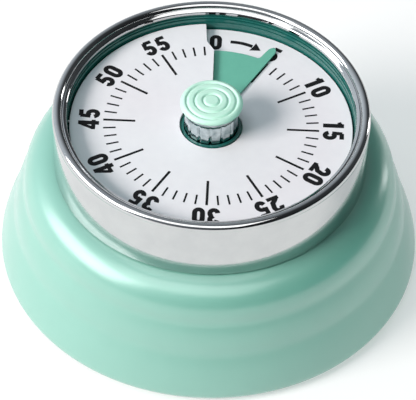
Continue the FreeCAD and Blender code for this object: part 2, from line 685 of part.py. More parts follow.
def make_going_train():
    main_high = d.main_low + d.main_sheet
    # a space of the main wheel faces the second arbor; the strike pinion is turned to suit
    clear_gear("main_wheel", d.main_teeth, d.main_module, d.main_low, main_high, d.main_pin,
               d.arbor_radius, phase=SECOND_ANGLE, windows=5)
    low, high = d.main_low - 0.6, d.main_low + 1.2
    pins = lantern(d.main_module, d.main_pin, low, high, *second_at, SECOND_ANGLE + 180)
    arbor("second_arbor", *second_at, pins)
    second_high = d.second_low + d.wheel_sheet
    to_third = heading(second_at, third_at)
    clear_gear("second_wheel", d.second_teeth, d.second_module, d.second_low, second_high,
               d.second_pin, d.small_arbor_radius, *second_at, to_third, 5)
    low, high = d.second_low - 0.45, d.second_low + 1.05
    pins = lantern(d.second_module, d.second_pin, low, high, *third_at, to_third + 180)
    arbor("third_arbor", *third_at, pins)
    third_high = d.third_low + d.wheel_sheet
    to_escape = heading(third_at, escape_at)
    clear_gear("third_wheel", d.third_teeth, d.third_module, d.third_low, third_high,
               d.third_pin, d.small_arbor_radius, *third_at, to_escape, 5)
    low, high = d.third_low - 0.45, d.third_low + 1.05
    pins = lantern(d.third_module, d.third_pin, low, high, *escape_at, to_escape + 180)
    arbor("escape_arbor", *escape_at, pins)


def star(label, teeth, tip, root, low, high, bore, at, phase, lean):
    """A wheel of pointed teeth; lean shifts each tip round, as on a ratchet."""
    count = int(teeth.value)
    step = 360.0 / count
    outline = []
    for i in range(count):
        angle = phase + step * i
        outline.append(polar(root, angle - step / 2))
        outline.append(polar(root, angle - step * 0.22))
        outline.append(polar(tip, angle + lean - 1.2))
        outline.append(polar(tip, angle + lean + 1.2))
        outline.append(polar(root, angle + step * 0.22))
    blank = slab("star_blank", outline, low, high, *at, keep=False)
    return cut(label, blank, [rod(bore, low - 1, high + 1, *at)])


def make_escapement():
    low, high = d.escape_low, d.escape_low + d.wheel_sheet
    to_pallet = heading(escape_at, pallet_at)
    star("escape_wheel", d.escape_teeth, d.escape_radius, d.escape_radius - 1.0, low, high,
         d.small_arbor_radius, escape_at, to_pallet, 0.0)
    pin_circle = d.escape_radius + d.pallet_pin + 0.06
    pins, holes, arms = [], [], [rod(0.95, low, high, *pallet_at)]
    for side in (-36.0, 36.0):
        pin = beyond(escape_at, to_pallet + side, pin_circle)
        pins.append(rod(d.pallet_pin, low - 0.2, high + 0.9, *pin))
        holes.append(rod(d.pallet_pin, low - 1, high + 2, *pin))
        arms.append(bar(pallet_at, pin, 0.7, high + 0.2, high + 0.8))
        arms.append(rod(0.45, high + 0.2, high + 0.8, *pin))
    arms.append(rod(0.95, high - 0.1, high + 0.8, *pallet_at))
    to_balance = heading(pallet_at, balance_at)
    fork_reach = 4.6
    fork_end = beyond(pallet_at, to_balance, fork_reach)
    arms.append(bar(pallet_at, fork_end, 0.8, low, high))
    arms.append(block(0.8, 1.6, low, high, *beyond(pallet_at, to_balance, fork_reach - 0.4), to_balance))
    body = fuse("", arms, keep=False)
    notch = block(1.2, 0.55, low - 1, high + 0.1, *fork_end, to_balance)
    holes.append(rod(d.small_arbor_radius, low - 1, high + 2, *pallet_at))
    cut("pallet_lever", body, [notch] + holes)
    fuse("pallet_pins", pins)
    arbor("pallet_arbor", *pallet_at, [])
    make_balance(to_balance + 180.0, low, high)


def make_balance(to_pallet, low, high):
    x, y = balance_at
    rim_low, rim_high = d.balance_low, d.balance_low + 0.8
    rim = ring("rim", d.balance_radius, d.balance_radius - 0.8, rim_low, rim_high, x, y, keep=False)
    reach = d.balance_radius * 2 - 0.6
    spokes = [block(reach, 0.7, rim_low + 0.1, rim_high - 0.1, x, y, to_pallet + turn)
              for turn in (45.0, 135.0)]
    hub = rod(1.1, rim_low, rim_high, x, y)
    wheel = fuse("", [rim, hub] + spokes, keep=False)
    cut("balance_wheel", wheel, [rod(d.small_arbor_radius, rim_low - 1, rim_high + 1, x, y)])
    arbor("balance_staff", x, y, [rod(0.8, rim_high + 0.2, rim_high + 0.9, x, y)])
    pin = beyond(balance_at, to_pallet, 1.15)
    roller = fuse("", [rod(1.5, high + 0.15, high + 0.6, x, y), rod(0.2, low - 0.1, high + 0.2, *pin)],
                  keep=False)
    cut("balance_roller", roller, [rod(d.small_arbor_radius, low - 1, high + 2, x, y)])


# ---- strike work ----
def make_strike():
    low, high = d.strike_low, d.strike_low + 0.7
    to_hammer = heading(strike_at, hammer_at)
    star("strike_wheel", d.strike_teeth, d.strike_radius, d.strike_radius - 1.0, low, high,
         d.small_arbor_radius, strike_at, to_hammer, 0.0)
    # the main wheel's spaces repeat every pitch, so the strike pinion's phase is what is left over
    pitch = 360.0 / d.main_teeth.value
    left = (STRIKE_ANGLE - SECOND_ANGLE) % pitch
    turn = left * d.main_teeth.value / d.pinion_pins.value
    pins = lantern(d.main_module, d.main_pin, d.main_low - 0.6, d.main_low + 1.2, *strike_at,
                   STRIKE_ANGLE + 180 + turn)
    arbor("strike_arbor", *strike_at, pins)
    pin_circle = d.strike_radius + 0.3 + 0.08
    arms = [rod(1.3, low, high, *hammer_at)]
    for side in (-45.0, 45.0):
        pin = beyond(strike_at, to_hammer + side, pin_circle)
        arms.append(bar(hammer_at, pin, 0.8, high + 0.1, high + 0.7))
        arms.append(rod(0.3, low, high + 0.7, *pin))
    arms.append(rod(1.3, low, high + 0.7, *hammer_at))
    cut("hammer_anchor", fuse("", arms, keep=False), [rod(0.8, low - 1, high + 2, *hammer_at)])
    arm_low, arm_high = d.bell_rim - 1.4, d.bell_rim - 0.6
    arbor("hammer_arbor", *hammer_at, [], low=arm_low - 0.4, radius=size_of(0.8))
    arm = fuse("", [bar(hammer_at, head_at, 0.7, arm_low, arm_high),
                    rod(1.4, arm_low, arm_high, *hammer_at)], keep=False)
    hole = rod(0.8, arm_low - 1, arm_high + 1, *hammer_at)
    cut("hammer_arm", arm, [hole, rod(1.5, arm_low - 1, arm_high + 1, *head_at)])
    node(rod(1.5, arm_low - 0.6, arm_high + 0.4, *head_at), "hammer_head")


def make_trip_lever():
    low, high = d.cam_low + 0.1, d.cam_low + 0.7
    growth = (d.cam_large.value - d.cam_small.value) / 360.0
    gap = 0.1
    tip_radius = d.cam_small.value + growth * (d.set_angle.value + 10.0) + gap
    tip = [polar(tip_radius, CONTACT_ANGLE + 2.0), polar(tip_radius + 2.8, CONTACT_ANGLE + 2.0),
           polar(tip_radius + 2.8, CONTACT_ANGLE + 13.0), polar(tip_radius, CONTACT_ANGLE + 10.0)]
    blade = slab("blade", tip, low, high, keep=False)
    elbow = polar(tip_radius + 2.2, CONTACT_ANGLE + 7.0)
    bend = polar(tip_radius + 3.6, CONTACT_ANGLE - 20.0)
    finger = beyond(lever_at, heading(lever_at, hammer_at), 11.0)
    arms = [blade, rod(1.7, low, high, *lever_at), bar(lever_at, bend, 1.3, low, high),
            rod(0.65, low, high, *bend), bar(bend, elbow, 1.3, low, high), rod(0.65, low, high, *elbow),
            bar(lever_at, finger, 1.3, low, high), rod(0.65, low, high, *finger)]
    cut("trip_lever", fuse("", arms, keep=False), [rod(0.85, low - 1, high + 1, *lever_at)])
    stud = [rod(0.8, low - 0.3, d.front_plate_low + d.plate_sheet, *lever_at),
            rod(1.3, low - 0.45, low - 0.1, *lever_at)]
    fuse("trip_lever_stud", stud)


def make_bell():
    rim, floor, sheet_size = d.bell_rim, d.bell_floor, d.bell_sheet
    outline = [
        (1.0, floor), (4.0, floor, 0.3), (9.5, floor + 1.2, 0.5), (d.bell_radius, rim),
        (d.bell_radius - sheet_size, rim), (9.2, floor + 2.1), (4.0, floor + sheet_size),
        (1.0, floor + sheet_size),
    ]
    turned("bell", outline)
    plate_low = d.back_plate_top - d.plate_sheet
    outline = [(0, floor + sheet_size), (1.7, floor + sheet_size), (1.7, plate_low - 1.2),
               (3.4, plate_low - 0.8), (3.4, plate_low), (0, plate_low)]
    post = turned("post", outline, keep=False)
    cut("bell_post", post, [rod(0.7, floor, floor + 3.4)])
    node(screw(0.7, 1.8, floor - 0.6, floor, floor + 3.2, 0, 0), "bell_screw")


make_base_shell()
make_bezel_ring()
make_upper_housing()
make_bottom_cover()
make_bottom_pieces()
make_dial_plate()
make_sector_disc()
make_knob()
make_main_arbor()
make_trip_cam()
make_plates()
make_springs()
make_going_train()
make_escapement()
make_strike()
make_trip_lever()
make_bell()
doc.recompute()

# ---- checks and files ----
for thing in doc.Objects:
    if any(word in str(thing.State) for word in ("Invalid", "Error")):
        raise RuntimeError(f"{thing.Name} {thing.Label} did not build: {thing.State}")
for thing in nodes:
    if thing.Shape.isNull() or not thing.Shape.isValid():
        raise RuntimeError(f"{thing.Label} has no valid shape")

os.makedirs("parts", exist_ok=True)
for thing in nodes:
    thing.Shape.exportStep(f"parts/{thing.Label}.step")
    box = thing.Shape.BoundBox
    print(f"{thing.Label:18s} solids {len(thing.Shape.Solids)} volume {thing.Shape.Volume:9.2f}"
          f" z {box.ZMin:6.2f}..{box.ZMax:6.2f}")
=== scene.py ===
"""The looks of a clockwork kitchen timer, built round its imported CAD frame.

Everything is in metres in the CAD's frame: +Z up the arbor, +Y towards the dial's 0 mark.
Radii and heights below are in millimetres and go through MM where a mesh is made.
"""
import json
import math

import bmesh
import bpy
from mathutils import Matrix, Vector


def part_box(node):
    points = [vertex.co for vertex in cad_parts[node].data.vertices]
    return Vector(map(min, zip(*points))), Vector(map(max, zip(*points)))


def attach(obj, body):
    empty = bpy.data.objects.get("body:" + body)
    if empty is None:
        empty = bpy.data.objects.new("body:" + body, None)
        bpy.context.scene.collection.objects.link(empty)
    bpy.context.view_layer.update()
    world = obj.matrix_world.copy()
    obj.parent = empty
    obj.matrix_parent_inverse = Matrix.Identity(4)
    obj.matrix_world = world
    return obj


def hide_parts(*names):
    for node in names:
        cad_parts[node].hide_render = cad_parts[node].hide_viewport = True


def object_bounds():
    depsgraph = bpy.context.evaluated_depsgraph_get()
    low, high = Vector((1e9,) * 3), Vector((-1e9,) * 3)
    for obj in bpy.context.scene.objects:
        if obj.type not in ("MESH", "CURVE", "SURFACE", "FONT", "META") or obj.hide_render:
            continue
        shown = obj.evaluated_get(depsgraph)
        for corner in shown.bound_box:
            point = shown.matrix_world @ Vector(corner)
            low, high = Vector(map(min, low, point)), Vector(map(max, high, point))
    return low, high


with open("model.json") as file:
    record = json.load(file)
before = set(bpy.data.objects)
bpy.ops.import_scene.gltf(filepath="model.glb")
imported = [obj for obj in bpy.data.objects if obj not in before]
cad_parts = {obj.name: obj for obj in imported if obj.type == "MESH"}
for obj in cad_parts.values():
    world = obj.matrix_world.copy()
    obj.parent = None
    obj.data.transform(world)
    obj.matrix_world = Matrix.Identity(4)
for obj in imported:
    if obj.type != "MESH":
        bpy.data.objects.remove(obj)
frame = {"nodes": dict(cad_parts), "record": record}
cad_box = [list(map(float, corner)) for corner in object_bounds()]

MM = 0.001
ROUND = 192                      # steps round a turned piece


# ---- sizes in millimetres, with the outer ones read from the frame ----
def high(node):
    """The height of a node's top."""
    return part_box(node)[1][2] / MM


def low(node):
    """The height of a node's bottom."""
    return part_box(node)[0][2] / MM


def reach(node):
    """How far a node goes along X, which is a round node's radius."""
    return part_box(node)[1][0] / MM


DIAL_PITCH = 1.27
DIAL_END = 359.35                # where the ramp's high edge stands, in degrees
DIAL_TOP = high("dial_plate") - DIAL_PITCH * DIAL_END / 360.0
DIAL_RADIUS = 22.95
DIAL_BORE = 5.1
DIAL_SHEET = 0.4
DIAL_LAP = 5.5                   # degrees that the low end runs on under the high end
DISC_SHEET = 0.3
DISC_LOW = DIAL_TOP + 0.15
DISC_RADIUS = 17.5
SET_ANGLE = 30.0                 # the pointer stands at 5 minutes
SECTOR_SPAN = 358.0              # degrees from the disc's hidden end to its pointer
POINTER_RADIUS = 20.9
SHOULDER = high("base_shell")
BEZEL_TOP = high("bezel_ring")
BEZEL_RADIUS = reach("bezel_ring")
KNOB_TOP = high("knob_cap")
CAP_LOW = KNOB_TOP - 1.0
CAP_RADIUS = 5.05
LIP_LOW = 30.45
LIP_RADIUS = 23.40
BEZEL_BORE = 24.15
WELL_FLOOR = 24.2
WELL_SHEET = 1.2                 # the thickness of the well's floor
ARBOR_HOLE = 2.6


# ---- materials ----
def noise(tree, scale, detail, stretch):
    """A noise texture in object space; stretch squeezes it along an axis."""
    coords = tree.nodes.new("ShaderNodeTexCoord")
    texture = tree.nodes.new("ShaderNodeTexNoise")
    texture.inputs["Scale"].default_value = scale
    texture.inputs["Detail"].default_value = detail
    texture.inputs["Roughness"].default_value = 0.55
    source = coords.outputs["Object"]
    if stretch:
        mapping = tree.nodes.new("ShaderNodeMapping")
        mapping.inputs["Scale"].default_value = stretch
        tree.links.new(source, mapping.inputs["Vector"])
        source = mapping.outputs["Vector"]
    tree.links.new(source, texture.inputs["Vector"])
    return texture


def blend_colours(tree, source, deep, pale):
    """A colour that goes from deep to pale over the middle of a texture's range."""
    ramp = tree.nodes.new("ShaderNodeValToRGB")
    for element, position, colour in zip(ramp.color_ramp.elements, (0.3, 0.7), (deep, pale)):
        element.position = position
        element.color = (*colour, 1)
    tree.links.new(source, ramp.inputs["Fac"])
    return ramp.outputs["Color"]


def vary(tree, source, socket, least, most):
    """Drives a socket between two values with a texture."""
    span = tree.nodes.new("ShaderNodeMapRange")
    span.inputs["To Min"].default_value = least
    span.inputs["To Max"].default_value = most
    tree.links.new(source, span.inputs["Value"])
    tree.links.new(span.outputs["Result"], socket)


def bump(tree, source, shader, distance):
    """A fine relief of the given depth in metres."""
    node = tree.nodes.new("ShaderNodeBump")
    node.inputs["Distance"].default_value = distance
    node.inputs["Strength"].default_value = 1.0
    tree.links.new(source, node.inputs["Height"])
    tree.links.new(node.outputs["Normal"], shader.inputs["Normal"])


def surface(name, pale, deep, metal=0.0, rough=(0.3, 0.4), scale=400.0, coat=0.0, grain=0.0,
            stretch=None, detail=3.0, gloss=0.5, coat_rough=0.06, coat_ior=1.5):
    """A material whose colour, gloss and relief all vary a little with a noise."""
    mat = bpy.data.materials.new(name)
    mat.use_nodes = True
    tree = mat.node_tree
    shader = tree.nodes["Principled BSDF"]
    source = noise(tree, scale, detail, stretch).outputs["Fac"]
    tree.links.new(blend_colours(tree, source, deep, pale), shader.inputs["Base Color"])
    shader.inputs["Metallic"].default_value = metal
    shader.inputs["Specular IOR Level"].default_value = gloss
    vary(tree, source, shader.inputs["Roughness"], *rough)
    if coat:
        shader.inputs["Coat Weight"].default_value = coat
        shader.inputs["Coat Roughness"].default_value = coat_rough
        shader.inputs["Coat IOR"].default_value = coat_ior
    if grain:
        bump(tree, source, shader, grain)
    return mat


MINT = surface("mint_lacquer", (0.176, 0.424, 0.342), (0.170, 0.412, 0.332), rough=(0.42, 0.50),
               scale=220.0, coat=1.0, grain=0.000004, gloss=1.0, coat_rough=0.24, coat_ior=1.75)
MINT_CAP = surface("mint_cap", (0.54, 0.81, 0.68), (0.51, 0.775, 0.645), rough=(0.34, 0.42),
                   scale=900.0, grain=0.000008)
# Painted shade: this green is made far darker than the mint so that it stands in for the shade down in
# the well and in the hole round the knob.
PAINTED_SHADE_GREEN = surface("well_green_painted_shade", (0.012, 0.130, 0.112), (0.009, 0.110, 0.094), rough=(0.22, 0.3),
                     scale=500.0, coat=0.4, grain=0.000004)
SECTOR_GREEN = surface("sector_green", (0.135, 0.43, 0.325), (0.127, 0.41, 0.31), rough=(0.42, 0.5),
                       scale=900.0, grain=0.000005)
DIAL_WHITE = surface("dial_white", (0.785, 0.772, 0.798), (0.762, 0.749, 0.778), rough=(0.34, 0.42),
                     scale=600.0, grain=0.000004)
INK = surface("dial_ink", (0.010, 0.010, 0.011), (0.006, 0.006, 0.007), rough=(0.6, 0.7), scale=1200.0,
              gloss=0.15)
CHROME = surface("chrome", (0.62, 0.625, 0.625), (0.58, 0.585, 0.59), metal=1.0, rough=(0.05, 0.09),
                 scale=300.0)
# Painted reflection: the stem's colour runs from bright chrome to dark teal patches, which stand in
# for the dark green reflections and shade round the stem.
CHROME_STEM_PAINTED_REFLECTION = surface("chrome_stem", (0.66, 0.72, 0.73), (0.24, 0.31, 0.32), metal=1.0,
                      rough=(0.04, 0.09), scale=650.0)

CAD_LOOKS = {
    "mint_lacquer": MINT,
    # The CAD's mint_dark slot takes the green with painted shade.
    "mint_dark": PAINTED_SHADE_GREEN,
    "chrome": CHROME,
    "dial_white": DIAL_WHITE,
    "sector_green": SECTOR_GREEN,
    "black_plastic": surface("black_plastic", (0.030, 0.031, 0.033), (0.018, 0.018, 0.020),
                             rough=(0.5, 0.68), scale=2600.0, grain=0.00002),
    "rubber": surface("foot_rubber", (0.030, 0.030, 0.031), (0.016, 0.016, 0.017), rough=(0.75, 0.9),
                      scale=1500.0, grain=0.00003),
    "ferrite": surface("magnet_ferrite", (0.075, 0.075, 0.08), (0.035, 0.035, 0.04), metal=0.2,
                       rough=(0.5, 0.7), scale=1800.0, grain=0.00002),
    "steel": surface("plated_steel", (0.62, 0.62, 0.61), (0.48, 0.48, 0.48), metal=1.0,
                     rough=(0.24, 0.4), scale=500.0, grain=0.000006, stretch=(1.0, 9.0, 1.0)),
    "brass": surface("rolled_brass", (0.80, 0.60, 0.26), (0.68, 0.49, 0.20), metal=1.0,
                     rough=(0.22, 0.36), scale=450.0, grain=0.000006, stretch=(8.0, 1.0, 1.0)),
    "spring_steel": surface("blued_spring", (0.33, 0.36, 0.42), (0.22, 0.25, 0.32), metal=1.0,
                            rough=(0.2, 0.32), scale=700.0, stretch=(1.0, 1.0, 12.0)),
    "bell_steel": surface("bell_nickel", (0.72, 0.71, 0.68), (0.60, 0.59, 0.57), metal=1.0,
                          rough=(0.12, 0.24), scale=260.0, grain=0.000005),
    "white_acetal": surface("white_acetal", (0.78, 0.77, 0.72), (0.72, 0.71, 0.66), rough=(0.4, 0.5),
                            scale=800.0),
}


# ---- mesh helpers ----
def add_piece(name, mesh, mat, slot, body, *nodes, crease=32.0):
    """Finishes a mesh piece: shades it, gives it its material and says what it rides on."""
    piece = bpy.data.objects.new(name, mesh)
    bpy.context.scene.collection.objects.link(piece)
    mesh.materials.append(mat)
    for face in mesh.polygons:
        face.use_smooth = True
    mesh.set_sharp_from_angle(angle=math.radians(crease))
    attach(piece, body)
    if nodes:
        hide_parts(*nodes)
    return piece


def finish_mesh(name, bm):
    """Turns a bmesh into a mesh with its faces outwards."""
    bmesh.ops.recalc_face_normals(bm, faces=bm.faces)
    mesh = bpy.data.meshes.new(name)
    bm.to_mesh(mesh)
    bm.free()
    return mesh


def add_rows(bm, rows):
    """Adds the vertices of rows of points, which are in millimetres."""
    return [[bm.verts.new(Vector(p) * MM) for p in row] for row in rows]


def join_rows(bm, one, two):
    """Adds quads between two closed rows of vertices."""
    for j in range(len(one)):
        k = (j + 1) % len(one)
        bm.faces.new((one[j], one[k], two[k], two[j]))


def add_strip(bm, rows):
    """Adds a solid strip through closed rows of points, with a face at each end."""
    made = add_rows(bm, rows)
    for one, two in zip(made, made[1:]):
        join_rows(bm, one, two)
    bm.faces.new(made[0])
    bm.faces.new(list(reversed(made[-1])))


def grid_mesh(name, rows):
    """A closed skin of quads over rows of points: the last row joins the first."""
    bm = bmesh.new()
    made = add_rows(bm, rows)
    for one, two in zip(made, made[1:] + made[:1]):
        join_rows(bm, one, two)
    bmesh.ops.remove_doubles(bm, verts=bm.verts, dist=1e-8)
    return finish_mesh(name, bm)


def turn(name, profile, steps=ROUND):
    """A closed solid turned about Z from a closed loop of (radius, height) points."""
    rows = []
    for radius, height in profile:
        rows.append([(radius * math.cos(a), radius * math.sin(a), height)
                     for a in (2 * math.pi * k / steps for k in range(steps))])
    return grid_mesh(name, rows)


def arc_points(start, end, height, count):
    """Points of an arc from start to end that bulges by height to the right of the way there."""
    (x0, y0), (x1, y1) = start, end
    chord = math.hypot(x1 - x0, y1 - y0)
    radius = (chord * chord / 4 + height * height) / (2 * height)
    nx, ny = (y1 - y0) / chord, -(x1 - x0) / chord
    cx = (x0 + x1) / 2 - nx * (radius - height)
    cy = (y0 + y1) / 2 - ny * (radius - height)
    first = math.atan2(y0 - cy, x0 - cx)
    sweep = math.atan2(y1 - cy, x1 - cx) - first
    while sweep > math.pi:
        sweep -= 2 * math.pi
    while sweep < -math.pi:
        sweep += 2 * math.pi
    return [(cx + radius * math.cos(first + sweep * i / count),
             cy + radius * math.sin(first + sweep * i / count)) for i in range(count + 1)]


def outline(points, count):
    """An open outline of arcs through (radius, height, bulge) points."""
    made = []
    for (x0, y0, height), (x1, y1, _) in zip(points, points[1:]):
        made += arc_points((x0, y0), (x1, y1), height, count)[:-1]
    return made + [points[-1][:2]]


def resample(points, step):
    """Spreads points evenly along an open outline."""
    lengths = [0.0]
    for a, b in zip(points, points[1:]):
        lengths.append(lengths[-1] + math.hypot(b[0] - a[0], b[1] - a[1]))
    count = max(2, int(lengths[-1] / step))
    made, k = [], 0
    for i in range(count + 1):
        at = lengths[-1] * i / count
        while k < len(points) - 2 and lengths[k + 1] < at:
            k += 1
        span = lengths[k + 1] - lengths[k]
        t = (at - lengths[k]) / span if span else 0.0
        a, b = points[k], points[k + 1]
        made.append((a[0] + (b[0] - a[0]) * t, a[1] + (b[1] - a[1]) * t))
    return made


def spread(start, end, step):
    """Even steps of about the given size from start to end."""
    count = int(round((end - start) / step))
    return [start + (end - start) * i / count for i in range(count + 1)]


def soften(points, times):
    """Rounds the creases of an evenly spaced open outline; its ends stay."""
    for _ in range(times):
        middle = [((a[0] + 2 * b[0] + c[0]) / 4, (a[1] + 2 * b[1] + c[1]) / 4)
                  for a, b, c in zip(points, points[1:], points[2:])]
        points = [points[0]] + middle + [points[-1]]
    return points


# ---- case ----
def make_base():
    """The stepped green moulding: three convex bands with soft creases between them."""
    foot = low("base_shell")
    outer = outline([
        (34.15, foot, 0.2), (34.96, 1.55, 0.27), (32.46, 8.85, 0.36), (30.68, 14.56, 1.90),
        (25.4, SHOULDER - 0.02, 0),
    ], 24)
    outer = soften(resample(outer, 0.22), 12)
    inner = [(22.3, SHOULDER - 0.02), (22.3, 18.9), (23.8, 18.7), (28.57, 13.66), (30.25, 8.45),
             (31.18, 2.4), (32.7, 2.4), (32.7, foot)]
    add_piece("base_moulding", turn("base_moulding", outer + inner), MINT, "mint_lacquer", "case",
              "base_shell", crease=40.0)
    circle, bore, radius, bottom, top = 28.0, 0.9, 2.2, 2.4, 13.4
    for k in range(3):
        angle = math.radians(90 + 120 * k)
        mesh = turn("screw_post", [(bore, bottom), (radius, bottom), (radius, top), (bore, top)], 40)
        mesh.transform(Matrix.Translation((circle * math.cos(angle) * MM,
                                           circle * math.sin(angle) * MM, 0)))
        add_piece(f"screw_post_{k + 1}", mesh, MINT, "mint_lacquer", "case")


def make_bezel():
    """The chrome drum: a plain wall, a rolled bead on its edge, and a ledge that leans to a lip."""
    centre, tube = BEZEL_RADIUS - 0.8, 0.8
    height = BEZEL_TOP - tube
    bead = [(centre + tube * math.cos(math.radians(a)), height + tube * math.sin(math.radians(a)))
            for a in range(-16, 157, 8)]
    wall = BEZEL_RADIUS - 0.05
    profile = [(BEZEL_BORE, SHOULDER), (wall - 0.25, SHOULDER), (wall, SHOULDER + 0.25),
               (wall, SHOULDER + 0.4), (wall, SHOULDER + 1.0), (wall, height - 1.0),
               (wall, height - 0.5), (wall, height - 0.32)]
    profile += bead
    profile += [
        (24.12, height + 0.20), (24.06, height + 0.16), (24.0, height + 0.19), (23.9, height + 0.22),
        (23.55, height + 0.02), (23.45, height - 0.05), (LIP_RADIUS, height - 0.13),
        (LIP_RADIUS, LIP_LOW), (BEZEL_BORE, LIP_LOW),
    ]
    add_piece("chrome_drum", turn("chrome_drum", profile), CHROME, "chrome", "case", "bezel_ring",
              crease=28.0)


def make_well():
    """The wall between the chrome lip and the dial, in fine steps; its dark green is painted shade."""
    top = LIP_LOW - 0.05
    profile = [
        (ARBOR_HOLE, WELL_FLOOR), (23.0, WELL_FLOOR), (23.2, SHOULDER), (BEZEL_BORE - 0.05, SHOULDER),
        (BEZEL_BORE - 0.05, top), (23.56, top),
        (23.54, top - 0.34), (23.90, top - 0.36), (23.90, top - 0.56), (23.46, top - 0.60),
        (23.40, top - 0.80), (23.80, top - 0.82), (23.80, top - 1.02), (23.34, top - 1.06),
        (23.28, top - 1.50), (23.56, top - 1.52), (23.56, top - 1.64), (23.22, top - 1.68),
        (23.2, top - 2.2), (23.2, WELL_FLOOR + WELL_SHEET), (ARBOR_HOLE, WELL_FLOOR + WELL_SHEET),
    ]
    add_piece("dial_well", turn("dial_well", profile), PAINTED_SHADE_GREEN, "mint_dark", "case",
              "upper_housing", crease=25.0)


# ---- helical dial ----
def on_ramp(radius, clock, height):
    """A point on a ramp of the dial's pitch that keeps rising past 360 degrees."""
    angle = math.radians(clock)
    return (radius * math.sin(angle), radius * math.cos(angle),
            height + DIAL_PITCH * clock / 360.0)


def ramp_mesh(name, columns, height, sheet):
    """A ramp sheet from columns of (clock, inner radius, outer radius), with closed edges."""
    edge = min(0.06, sheet * 0.2)
    rows = []
    for clock, inner, outer in columns:
        section = [
            (inner, height - sheet), (outer - edge, height - sheet), (outer, height - sheet + edge),
            (outer, height - edge), (outer - edge, height), (inner + edge, height),
            (inner, height - edge),
        ]
        rows.append([on_ramp(r, clock, h) for r, h in section])
    bm = bmesh.new()
    add_strip(bm, rows)
    return finish_mesh(name, bm)


def make_dial():
    """The white ramp. Its high edge at 0 steps back beyond the ticks, clear of the first number."""
    corner, steps = 355.6, 12
    columns = [(c, DIAL_BORE, DIAL_RADIUS) for c in spread(-DIAL_LAP, corner, 1.25)]
    columns += [(corner + 3.4 * t / steps, DIAL_BORE, 18.78 - 1.81 * t / steps)
                for t in range(steps + 1)]
    columns.append((DIAL_END, DIAL_BORE, 16.9))
    mesh = ramp_mesh("dial_ramp", columns, DIAL_TOP, DIAL_SHEET)
    add_piece("dial_ramp", mesh, DIAL_WHITE, "dial_white", "case", "dial_plate", crease=30.0)
    tab = ramp_mesh("dial_tab", [(c, 22.7, 23.28) for c in (268.4, 268.7, 269.0)],
                    DIAL_TOP - 0.02, DIAL_SHEET * 0.7)
    add_piece("dial_tab", tab, DIAL_WHITE, "dial_white", "case")


def pointer_reach(clock):
    """The outer radius of the sector disc: its rim, and the round-ended pointer behind its edge."""
    back = SET_ANGLE - clock
    table = [                    # degrees behind the leading edge, and the radius there
        (0.0, 19.8), (0.3, 20.2), (0.8, 20.6), (1.4, 20.85), (2.1, POINTER_RADIUS), (2.8, 20.85),
        (3.4, 20.6), (3.9, 20.15), (4.3, 19.4), (4.6, 18.6), (4.9, 18.0), (5.3, 17.7),
        (6.0, DISC_RADIUS),
    ]
    for (near, one), (far, two) in zip(table, table[1:]):
        if near <= back <= far:
            return one + (two - one) * (back - near) / (far - near)
    return DISC_RADIUS


def make_sector():
    """The green ramp, with its pointer, and the hub that it turns on."""
    clocks = spread(SET_ANGLE - SECTOR_SPAN, SET_ANGLE - 6.5, 1.5)
    clocks += spread(SET_ANGLE - 6.4, SET_ANGLE, 0.08)
    columns = [(c, 4.7, pointer_reach(c)) for c in clocks]
    mesh = ramp_mesh("sector_leaf", columns, DISC_LOW + DISC_SHEET, DISC_SHEET)
    add_piece("sector_leaf", mesh, SECTOR_GREEN, "sector_green", "sector", "sector_disc",
              crease=30.0)
    bottom = DISC_LOW + DIAL_PITCH * (SET_ANGLE - SECTOR_SPAN) / 360.0 - 0.15
    top = DISC_LOW + DIAL_PITCH * SET_ANGLE / 360.0 + DISC_SHEET + 0.1
    # Painted shade: the hub gets the dark well green instead of the sector's green, for the shade down
    # in the hole.
    hub = turn("sector_hub", [(4.45, bottom), (4.9, bottom), (4.9, top - 0.1), (4.85, top),
                              (4.45, top)], 96)
    add_piece("sector_hub", hub, PAINTED_SHADE_GREEN, "sector_green", "sector")


# ---- ink ----
STROKE = 0.80                    # the stroke of a number
DIGIT_WIDTH = 2.04
DIGIT_HEIGHT = 3.40
DIGIT_GAP = 0.36
INK_LIFT = 0.018                 # how far the ink stands over the dial
INK_SINK = 0.04                  # how far it goes into the dial
LAYER_LIFT = 0.0006              # how far one stroke stands over another that it crosses
NUMBER_CIRCLE = 18.12            # the radius of the foot of the numbers
NUMBER_NUDGE = {"5": -0.35, "10": -0.2, "15": -0.32, "20": -0.2}
TICK_END = 17.5
LONG_TICK = (12.29, 0.42)        # where a mark starts, and its width
SHORT_TICK = (15.47, 0.31)


def bend(cx, cy, rx, ry, start, end, count=14):
    """Points of an ellipse's arc between two angles in degrees."""
    return [(cx + rx * math.cos(math.radians(a)), cy + ry * math.sin(math.radians(a)))
            for a in (start + (end - start) * i / count for i in range(count + 1))]


